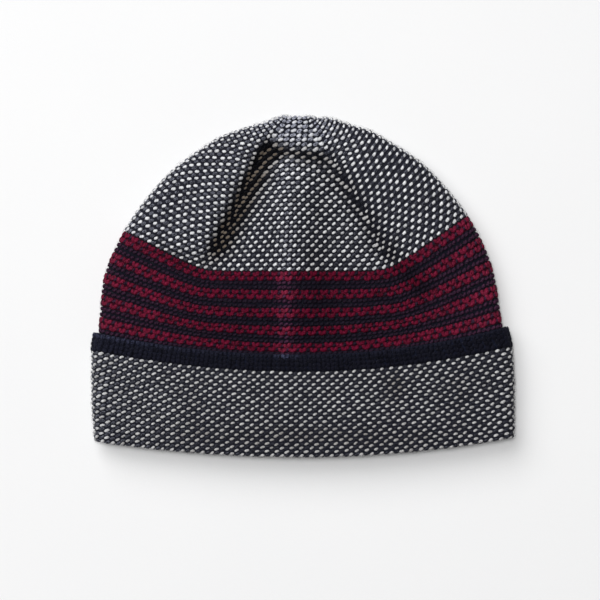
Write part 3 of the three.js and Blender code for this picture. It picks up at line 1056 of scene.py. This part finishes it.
class CAP_OT_cuff_edge(PieceOperator, bpy.types.Operator):
    """Knits the navy ribbed border on top of the cuff"""
    bl_idname = "cap.cuff_edge"
    bl_label = "Ribbed border"

    def execute(self, context):
        knit = context.scene.cap_knit
        colours = context.scene.cap_yarn
        ribs = CUFF_STITCHES // 2
        turns = places_around(ribs * RIB_POINTS)
        wave = np.cos(2 * math.pi * (turns * ribs - 0.25))[:, None]
        rings = []
        for row, outward in BORDER_SECTION:
            swell = RIB_SWELL * (outward > 0) * wave
            rings += rings_at(cuff_place, turns, [row], outward + swell, 0)
        # Behind the ribs the navy is darker still, as painted shade in the gaps between them
        finish = wall_finish("edge_wall", times(colours.navy, 0.5), EDGE_FUZZ, tuple(colours.navy),
                             times(colours.navy, 1.4), ribbed=True)
        piece = wall("edge_wall", rings, CUFF_STITCHES)
        keep(piece, finish, ("cuff_edge",))
        cells = np.array([(0, column, row, 0) for row in range(BORDER_START, BORDER_END)
                          for column in range(0, CUFF_STITCHES, 2)], float)
        # The top row has more stray fibres: lighter hair and a painted highlight along the cast-on edge
        haze = np.where(cells[:, 2:3] < BORDER_END - 1, 0.02, 0.08)
        piece = stitches("edge_stitches", knit, cuff_place, cuff_turn, cells, EDGE_ARMS, 5, seed=41,
                         turned=True, haze=haze)
        keep(piece, self.yarn(context, "border_yarn"))
        return {"FINISHED"}


# Where hairs lie: the fabric, its first and last row, its length around and its share of the hairs
HAIRY = (
    (body_place, 1.5, 55, 410, 0.62),
    (cuff_place, -1, 26, 485, 0.38),
)


class CAP_OT_hairs(PieceOperator, bpy.types.Operator):
    """Scatters loose wool hairs over the outside"""
    bl_idname = "cap.hairs"
    bl_label = "Hairs"

    def execute(self, context):
        knit = context.scene.cap_knit
        chance = np.random.RandomState(51)
        bm = bmesh.new()
        bm.loops.layers.uv.new("strand")
        bm.verts.layers.float.new("arm")
        bmesh.ops.create_uvsphere(bm, u_segments=3, v_segments=3, radius=1, calc_uvs=True)
        form, _, corners, sizes, uvs = as_arrays(bm, "arm", "strand")
        bm.free()
        groups = []
        for place, first, last, around, share in HAIRY:
            count = int(knit.hairs * share)
            row = chance.uniform(first, last, (count, 1))
            turn = chance.uniform(0, 1, (count, 1))
            heading = chance.uniform(0, math.pi, (count, 1))
            half = chance.uniform(*HAIR_LENGTHS, (count, 1))
            curl = chance.normal(size=(count, 1)) * 0.35
            lift = chance.uniform(0.1, 1.0, (count, 1)) ** 2
            side, thick, length = np.moveaxis(form[None], -1, 0)
            bow = curl * (length ** 2 - 0.4) * half
            height = HAIR_HEIGHT + lift * (0.9 - 0.7 * length ** 2) + HAIR_HALF * thick
            length = length * half
            sideways = bow + HAIR_HALF * side
            across = length * np.cos(heading) - sideways * np.sin(heading)
            along = length * np.sin(heading) + sideways * np.cos(heading)
            rows = np.clip(row + along / ROW_HEIGHT, first - 2, CROWN_TOP - 0.5)
            point, out = place(turn + across / around, rows)
            groups.append(point + out * height[..., None])
        points = np.concatenate(groups)
        points[..., 2] = np.maximum(points[..., 2], FLOOR_GAP)
        values = {"tone": chance.uniform(-1, 1, (len(points), 1)), "lift": 1, "haze": 0}
        piece = repeated("hairs", points, corners, sizes, uvs, values)
        keep(piece, self.yarn(context, "hair_wool"))
        return {"FINISHED"}


class CAP_OT_stage(bpy.types.Operator):
    """Sets up the floor, the lights and the camera"""
    bl_idname = "cap.stage"
    bl_label = "Stage"

    def execute(self, context):
        stage = context.scene.cap_stage
        bm = bmesh.new()
        bmesh.ops.create_grid(bm, x_segments=1, y_segments=1, size=6)
        mesh = bpy.data.meshes.new("floor")
        bm.to_mesh(mesh)
        bm.free()
        floor = new_object("floor", mesh)
        mesh.materials.append(floor_finish())
        world = bpy.data.worlds.new("soft_sky")
        world.use_nodes = True
        sky = world.node_tree.nodes["Background"]
        sky.inputs["Color"].default_value = SKY_COLOUR
        sky.inputs["Strength"].default_value = stage.sky
        context.scene.world = world
        for name, power, size, place in (("window", stage.window_power, WINDOW_SIZE, WINDOW_PLACE),
                                         ("top", stage.top_power, TOP_SIZE, TOP_PLACE)):
            light = bpy.data.lights.new(name, "AREA")
            light.energy = power
            light.size = size
            lamp = bpy.data.objects.new(name, light)
            context.scene.collection.objects.link(lamp)
            lamp.location = place
            lamp.rotation_euler = (-lamp.location).to_track_quat("-Z", "Y").to_euler()
        camera = bpy.data.objects.new("camera", bpy.data.cameras.new("camera"))
        context.scene.collection.objects.link(camera)
        camera.data.sensor_width = 36
        camera.data.lens = 36 * stage.camera_height / stage.view_width
        across, along, up = VIEW_MIDDLE
        camera.location = (across, along, up + stage.camera_height)
        camera.data.clip_end = 20
        context.scene.camera = camera
        context.scene.view_settings.view_transform = "Standard"
        return {"FINISHED"}


class CAP_PT_panel(bpy.types.Panel):
    """Lists the pieces of the cap and their settings"""
    bl_idname = "CAP_PT_panel"
    bl_label = "Knit cap"
    bl_space_type = "VIEW_3D"
    bl_region_type = "UI"
    bl_category = "Knit cap"

    def draw(self, context):
        for operator in OPERATORS:
            self.layout.operator(operator.bl_idname)
        for group in (context.scene.cap_knit, context.scene.cap_yarn, context.scene.cap_stage):
            for name in group.bl_rna.properties.keys():
                if name not in ("rna_type", "name"):
                    self.layout.prop(group, name)


SETTINGS = {"cap_knit": KnitSettings, "cap_yarn": YarnSettings, "cap_stage": StageSettings}
OPERATORS = (CAP_OT_crown, CAP_OT_band, CAP_OT_cuff, CAP_OT_cuff_edge, CAP_OT_hairs, CAP_OT_stage)


def register():
    for made in (*SETTINGS.values(), *OPERATORS, CAP_PT_panel):
        bpy.utils.register_class(made)
    for name, group in SETTINGS.items():
        setattr(bpy.types.Scene, name, bpy.props.PointerProperty(type=group))


def unregister():
    for name in SETTINGS:
        delattr(bpy.types.Scene, name)
    for made in (CAP_PT_panel, *reversed(OPERATORS), *SETTINGS.values()):
        bpy.utils.unregister_class(made)


def main():
    register()
    bpy.ops.cap.crown()
    bpy.ops.cap.band()
    bpy.ops.cap.cuff()
    bpy.ops.cap.cuff_edge()
    bpy.ops.cap.hairs()
    bpy.ops.cap.stage()


if __name__ == "__main__":
    main()
